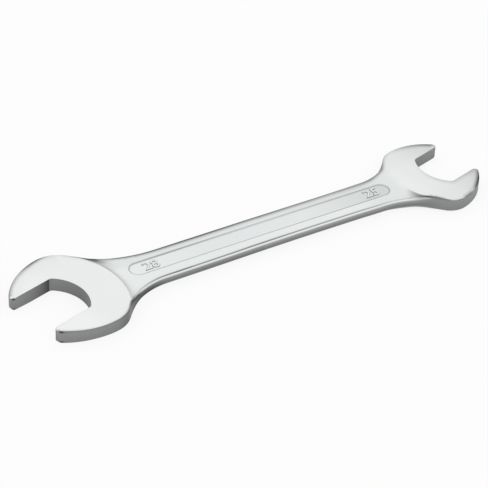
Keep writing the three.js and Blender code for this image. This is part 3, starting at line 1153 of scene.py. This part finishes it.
def make_number(digits, left, material):
    """A size number with rounded borders, raised from the floor of the panel."""
    mesh = number_mesh(digits)
    number = new_object("size_number_" + digits, mesh)
    floor = MIDDLE_HEIGHT + SHANK_FACE - PANEL_DEPTH
    foot = SHIFT[1] + NUMBER_ACROSS - NUMBER_HEIGHT / 2
    mesh.transform(Matrix.Diagonal((NUMBER_STRETCH, 1, 1, 1)))
    mesh.transform(Matrix.Translation(Vector((left, foot, floor)) * MM))
    mesh.materials.clear()
    mesh.materials.append(material)
    _, toward_y, slope = np.array([tuple(n.vector) for n in mesh.vertex_normals]).T
    # Painted shade on the sloped borders, less of it where they face -Y.
    line = 1 - ramp(np.abs(slope), NUMBER_LINE_SLOPE, NUMBER_LINE_RUN)
    add_share(mesh, "line", line * (1 - NUMBER_FOOT_LIGHT * np.clip(-toward_y, 0, 1)))
    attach(number, "root")


# The floor: half its width, its colour, and how much of it glows where it is seen.
FLOOR_HALF = 3000
FLOOR_COLOUR = (0.9, 0.9, 0.9, 1)
FLOOR_GLOW_SHARE = 0.85


def floor_material():
    """Pale floor that stays near white and keeps the shadow."""
    material = bpy.data.materials.new("floor_pale")
    nodes = Shader(material)
    path = nodes.add("ShaderNodeLightPath").outputs
    seen = nodes.math("MAXIMUM", path["Is Camera Ray"], path["Is Glossy Ray"])
    seen = nodes.math("MAXIMUM", seen, path["Is Transmission Ray"])
    paint = nodes.add("ShaderNodeBsdfDiffuse", Color=FLOOR_COLOUR)
    glow = nodes.add("ShaderNodeEmission", Color=WHITE, Strength=1)
    mixed = nodes.add("ShaderNodeMixShader", Fac=nodes.math("MULTIPLY", seen, FLOOR_GLOW_SHARE))
    nodes.feed(mixed.inputs[1], paint.outputs[0])
    nodes.feed(mixed.inputs[2], glow.outputs[0])
    nodes.finish("ShaderNodeOutputMaterial", mixed.outputs[0])
    return material


def make_floor():
    """A wide floor under the wrench."""
    mesh = bpy.data.meshes.new("floor")
    corners = ((-1, -1, 0), (1, -1, 0), (1, 1, 0), (-1, 1, 0))
    mesh.from_pydata([Vector(corner) * FLOOR_HALF * MM for corner in corners], [], [(0, 1, 2, 3)])
    floor = new_object("floor", mesh)
    floor.data.materials.append(floor_material())


# The studio's light: its strength at the horizon, and how high up it has grown to full.
HORIZON_STRENGTH = 0.45
FULL_LIGHT_HEIGHT = 0.35


def make_world():
    """Soft white light from all sides, weaker near the horizon."""
    world = bpy.data.worlds.new("studio")
    bpy.context.scene.world = world
    nodes = Shader(world)
    direction = nodes.add("ShaderNodeTexCoord").outputs["Generated"]
    split = nodes.add("ShaderNodeSeparateXYZ", Vector=direction)
    level = nodes.add(
        "ShaderNodeMapRange", Value=split.outputs["Z"], From_Min=0, From_Max=FULL_LIGHT_HEIGHT,
        To_Min=HORIZON_STRENGTH, To_Max=1,
    )
    light = nodes.add("ShaderNodeBackground", Color=WHITE, Strength=level.outputs[0])
    nodes.finish("ShaderNodeOutputWorld", light.outputs[0])


# The camera that fits the photograph: it looks down by the elevation, from the -Y side.
CAMERA_ELEVATION = math.radians(37.478)
CAMERA_TURN = math.radians(32.105)
CAMERA_ROLL = math.radians(2.680)
CAMERA_DISTANCE = 1106.5
CAMERA_TARGET = (-4.696, 1.648, 0)
CAMERA_FOCUS_PX = 2290.14
IMAGE_PX = 488
SENSOR_MM = 36


def make_camera():
    """The camera, aimed at its target and rolled a little."""
    cosine, sine = math.cos(CAMERA_ELEVATION), math.sin(CAMERA_ELEVATION)
    level = Vector((math.cos(CAMERA_TURN), -math.sin(CAMERA_TURN), 0))
    ahead = Vector((math.sin(CAMERA_TURN), math.cos(CAMERA_TURN), 0))
    forward = ahead * cosine - Vector((0, 0, sine))
    upright = ahead * sine + Vector((0, 0, cosine))
    right = level * math.cos(CAMERA_ROLL) + upright * math.sin(CAMERA_ROLL)
    up = upright * math.cos(CAMERA_ROLL) - level * math.sin(CAMERA_ROLL)
    camera = bpy.data.cameras.new("camera")
    camera.sensor_width = SENSOR_MM
    camera.lens = CAMERA_FOCUS_PX / IMAGE_PX * SENSOR_MM
    place = (Vector(CAMERA_TARGET) - forward * CAMERA_DISTANCE) * MM
    turn = Matrix((right, up, -forward)).transposed().to_4x4()
    holder = new_object("camera", camera)
    holder.matrix_world = Matrix.Translation(place) @ turn
    bpy.context.scene.camera = holder


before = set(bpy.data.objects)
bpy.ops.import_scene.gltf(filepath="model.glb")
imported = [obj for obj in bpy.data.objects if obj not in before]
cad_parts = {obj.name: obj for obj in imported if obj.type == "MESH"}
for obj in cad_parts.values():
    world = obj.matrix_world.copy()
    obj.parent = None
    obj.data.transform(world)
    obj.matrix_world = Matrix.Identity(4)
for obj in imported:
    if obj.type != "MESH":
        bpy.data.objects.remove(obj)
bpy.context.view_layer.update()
make_camera()
chrome = chrome_material()
make_wrench(chrome)
for digits, left in NUMBERS:
    make_number(digits, left, chrome)
make_floor()
make_world()
bpy.context.scene.view_settings.view_transform = "Standard"
